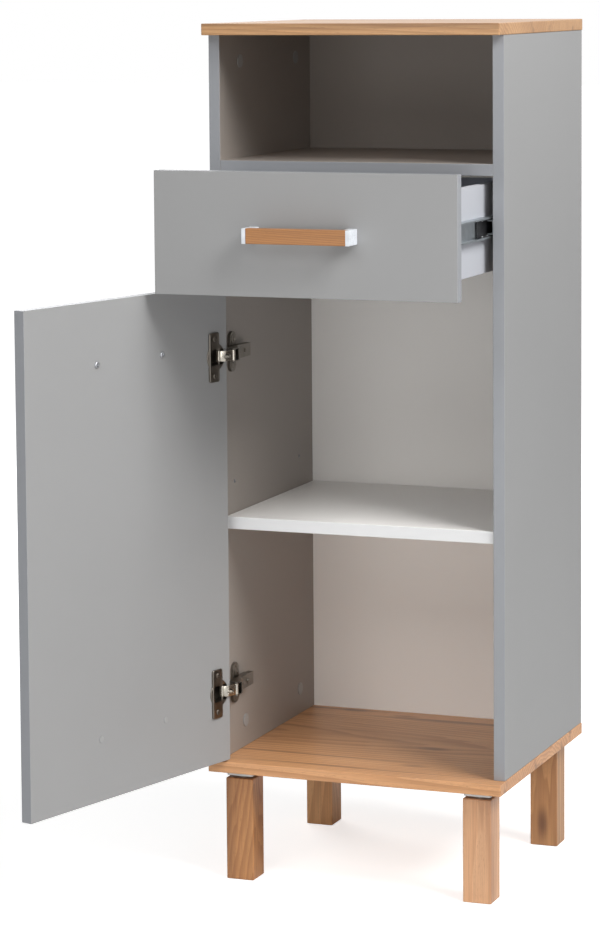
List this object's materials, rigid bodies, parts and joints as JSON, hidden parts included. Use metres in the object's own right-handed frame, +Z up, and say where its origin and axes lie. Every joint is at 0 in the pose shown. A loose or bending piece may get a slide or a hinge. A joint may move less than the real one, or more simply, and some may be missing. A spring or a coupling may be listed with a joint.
{
  "type": "bathroom cabinet",
  "caption": "Mid-height freestanding bathroom cabinet on square oak legs, with an open niche, a drawer on ball slides and a hinged door over a compartment with an adjustable shelf.",
  "frame": {"origin": "on the floor, at the middle in plan of the box round the cabinet with its door and drawer open as pictured", "axes": "+Z up, +Y to the cabinet's back, +X to the right of someone facing its front"},
  "size_m": [0.4878, 0.745, 1.12],
  "materials": {
    "oak_panel": "satin lacquered oak veneer with a long straight grain",
    "oak_leg": "satin lacquered oak, grain upright",
    "oak_handle": "satin lacquered oak, grain along the bar",
    "grey_laminate": "light grey matt laminate on chipboard",
    "white_laminate": "white matt laminate on chipboard",
    "drawer_laminate": "pale cool white matt laminate on chipboard",
    "grey_plastic": "matt grey moulded plastic",
    "white_enamel": "satin white enamel on cast metal",
    "beech": "bare fluted beech",
    "black_plastic": "matt black moulded plastic",
    "cast_zinc": "bare cast zinc",
    "zinc_steel": "zinc plated steel",
    "nickel_steel": "nickel plated steel"
  },
  "bodies": {
    "carcass": {"adjustable_shelf": "white_laminate", "base_panel": "oak_panel", "cam_bolts": "zinc_steel", "cam_caps": "grey_plastic", "cam_locks": "cast_zinc", "dowels": "beech", "hinge_arm_lower": "nickel_steel", "hinge_arm_pins": "nickel_steel", "hinge_arm_screws": "nickel_steel", "hinge_arm_upper": "nickel_steel", "hinge_plate_lower": "nickel_steel", "hinge_plate_screws": "nickel_steel", "hinge_plate_upper": "nickel_steel", "leg_back_left": "oak_leg", "leg_back_right": "oak_leg", "leg_bolts": "zinc_steel", "leg_front_left": "oak_leg", "leg_front_right": "oak_leg", "leg_plate_screws": "zinc_steel", "leg_plates": "zinc_steel", "lower_back_panel": "white_laminate", "niche_back_panel": "grey_laminate", "niche_shelf": "grey_laminate", "shelf_pins": "zinc_steel", "side_panel_left": "grey_laminate", "side_panel_right": "grey_laminate", "slide_cabinet_rail_left": "zinc_steel", "slide_cabinet_rail_right": "zinc_steel", "slide_cabinet_screws": "zinc_steel", "top_panel": "oak_panel"},
    "drawer": {"drawer_back": "drawer_laminate", "drawer_back_screws": "zinc_steel", "drawer_bottom": "drawer_laminate", "drawer_cam_bolts": "zinc_steel", "drawer_cam_locks": "cast_zinc", "drawer_front": "grey_laminate", "drawer_handle_bar": "oak_handle", "drawer_handle_posts": "white_enamel", "drawer_handle_screws": "zinc_steel", "drawer_side_left": "drawer_laminate", "drawer_side_right": "drawer_laminate", "slide_drawer_rail_left": "zinc_steel", "slide_drawer_rail_right": "zinc_steel", "slide_drawer_screws": "zinc_steel"},
    "slide_cages": {"slide_balls": "zinc_steel", "slide_cage_left": "black_plastic", "slide_cage_right": "black_plastic"},
    "door": {"door_handle_bar": "oak_handle", "door_handle_posts": "white_enamel", "door_handle_screws": "zinc_steel", "door_hole_plugs": "grey_plastic", "door_panel": "grey_laminate", "hinge_cup_lower": "nickel_steel", "hinge_cup_pins": "nickel_steel", "hinge_cup_screws": "nickel_steel", "hinge_cup_upper": "nickel_steel"},
    "hinge_outer_links": {"hinge_outer_link_lower": "nickel_steel", "hinge_outer_link_upper": "nickel_steel"},
    "hinge_inner_links": {"hinge_inner_links": "nickel_steel"}
  },
  "joints": [
    {"name": "drawer_slide", "type": "slide", "parent": "carcass", "child": "drawer", "axis": [0, 1, 0], "range_m": [-0.055, 0.165]},
    {"name": "slide_cage_roll", "type": "slide", "parent": "carcass", "child": "slide_cages", "axis": [0, 1, 0], "range_m": [-0.0275, 0.0825]},
    {"name": "hinge_link_swing", "type": "hinge", "parent": "carcass", "child": "hinge_outer_links", "pos_m": [-0.12013, 0.01711, 0.47375], "axis": [0, 0, 1], "range_deg": [-62.73, 0]},
    {"name": "hinge_inner_swing", "type": "hinge", "parent": "carcass", "child": "hinge_inner_links", "pos_m": [-0.12663, 0.02001, 0.47375], "axis": [0, 0, 1], "range_deg": [-62.73, 0]},
    {"name": "door_hinge", "type": "hinge", "parent": "hinge_outer_links", "child": "door", "pos_m": [-0.13356, -0.00074, 0.47375], "axis": [0, 0, 1], "range_deg": [0, 167.72]}
  ],
  "couplings": [
    {"joint": "slide_cage_roll", "follows": "drawer_slide", "ratio": 0.5},
    {"joint": "hinge_link_swing", "follows": "door_hinge", "ratio": -0.37397},
    {"joint": "hinge_inner_swing", "follows": "door_hinge", "ratio": -0.37397}
  ]
}
